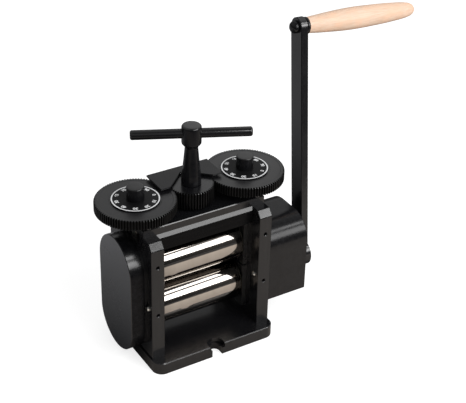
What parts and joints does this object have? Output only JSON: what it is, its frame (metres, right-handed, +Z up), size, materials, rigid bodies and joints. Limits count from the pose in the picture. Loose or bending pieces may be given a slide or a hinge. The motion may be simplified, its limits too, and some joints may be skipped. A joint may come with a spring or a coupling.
{
  "type": "jewellers rolling mill",
  "caption": "Hand-cranked bench rolling mill with two 111 by 55 mm steel rolls, a reduction gearbox and a geared T-handle that sets the roll gap.",
  "frame": {"origin": "middle of the base plate's underside", "axes": "+X along the rolls towards the crank, -Y to the front where metal is fed in, +Z up"},
  "size_m": [0.4535, 0.1282, 0.3454],
  "materials": {
    "black_enamel": "satin black stove enamel on machined steel",
    "blackened_steel": "black oxide on machined steel",
    "ground_steel": "ground and polished hardened steel",
    "gear_steel": "cut gear steel, lightly oiled",
    "nickel": "nickel plated",
    "bronze": "turned bearing bronze",
    "beech": "turned pale hardwood, sanded and lightly sealed"
  },
  "bodies": {
    "frame": {"base_plate": "black_enamel", "base_screws": "blackened_steel", "left_side_plate": "black_enamel", "right_side_plate": "black_enamel", "oil_nipples": "nickel", "front_tie_bar": "black_enamel", "rear_tie_bar": "black_enamel", "tie_bar_screws": "blackened_steel", "top_plate": "black_enamel", "top_plate_screws": "blackened_steel", "spindle_bush": "bronze", "indicator_plate": "black_enamel", "indicator_posts": "blackened_steel", "lower_left_bearing_block": "blackened_steel", "lower_right_bearing_block": "blackened_steel", "lower_left_bush": "bronze", "lower_right_bush": "bronze", "left_gear_cover": "black_enamel", "left_cover_back_plate": "black_enamel", "left_cover_screws": "blackened_steel", "gearbox_back_plate": "black_enamel", "gearbox_housing": "black_enamel", "housing_screws": "blackened_steel", "crank_shaft_bush": "bronze", "countershaft": "ground_steel"},
    "carriage": {"upper_left_bearing_block": "blackened_steel", "upper_right_bearing_block": "blackened_steel", "upper_left_bush": "bronze", "upper_right_bush": "bronze"},
    "upper_roll_body": {"upper_roll": "ground_steel", "upper_sync_gear": "gear_steel", "upper_gear_retainer": "blackened_steel"},
    "lower_roll_body": {"lower_roll": "ground_steel", "lower_sync_gear": "gear_steel", "lower_gear_retainer": "blackened_steel", "output_gear": "gear_steel"},
    "countershaft_cluster": {"countershaft_sleeve": "ground_steel", "countershaft_pinion": "gear_steel", "countershaft_gear": "gear_steel"},
    "crank": {"crank_shaft": "ground_steel", "crank_pinion": "gear_steel", "crank_arm": "black_enamel", "crank_retaining_disc": "blackened_steel", "handle_bolt": "blackened_steel"},
    "grip": {"grip_ferrule": "blackened_steel", "wooden_grip": "beech"},
    "left_dial": {"left_adjusting_screw": "ground_steel", "left_dial_gear": "blackened_steel", "left_dial_disc": "blackened_steel", "left_dial_knob": "blackened_steel"},
    "right_dial": {"right_adjusting_screw": "ground_steel", "right_dial_gear": "blackened_steel", "right_dial_disc": "blackened_steel", "right_dial_knob": "blackened_steel"},
    "t_handle": {"spindle": "blackened_steel", "spindle_collar": "blackened_steel", "adjusting_pinion": "blackened_steel", "cross_bar": "blackened_steel"}
  },
  "joints": [
    {"name": "crank_turn", "type": "hinge", "parent": "frame", "child": "crank", "pos_m": [0, 0, 0.057], "axis": [1, 0, 0], "continuous": true},
    {"name": "lower_roll_turn", "type": "hinge", "parent": "frame", "child": "lower_roll_body", "pos_m": [0, 0, 0.057], "axis": [1, 0, 0], "continuous": true},
    {"name": "countershaft_turn", "type": "hinge", "parent": "frame", "child": "countershaft_cluster", "pos_m": [0.09, 0, 0.0945], "axis": [1, 0, 0], "continuous": true},
    {"name": "carriage_slide", "type": "slide", "parent": "frame", "child": "carriage", "axis": [0, 0, 1], "range_m": [-0.0009, 0.004]},
    {"name": "upper_roll_turn", "type": "hinge", "parent": "carriage", "child": "upper_roll_body", "pos_m": [0, 0, 0.113], "axis": [1, 0, 0], "continuous": true},
    {"name": "grip_turn", "type": "hinge", "parent": "crank", "child": "grip", "pos_m": [0.16746, 0.05192, 0.33443], "axis": [0.998, -0.0116, -0.0617], "continuous": true},
    {"name": "t_handle_turn", "type": "hinge", "parent": "frame", "child": "t_handle", "pos_m": [0, 0, 0.19], "axis": [0, 0, 1], "range_deg": [-291.65, 1296.05]},
    {"name": "left_dial_turn", "type": "hinge", "parent": "frame", "child": "left_dial", "pos_m": [-0.07, 0, 0.19], "axis": [0, 0, 1], "range_deg": [-720.05, 162.05]},
    {"name": "right_dial_turn", "type": "hinge", "parent": "frame", "child": "right_dial", "pos_m": [0.07, 0, 0.19], "axis": [0, 0, 1], "range_deg": [-720.05, 162.05]}
  ],
  "couplings": [
    {"joint": "lower_roll_turn", "follows": "crank_turn", "ratio": 0.40191},
    {"joint": "countershaft_turn", "follows": "crank_turn", "ratio": -0.31579},
    {"joint": "upper_roll_turn", "follows": "crank_turn", "ratio": -0.40191},
    {"joint": "left_dial_turn", "follows": "carriage_slide", "rad_per_m": -3141.6},
    {"joint": "right_dial_turn", "follows": "carriage_slide", "rad_per_m": -3141.6},
    {"joint": "t_handle_turn", "follows": "carriage_slide", "rad_per_m": 5654.9}
  ]
}
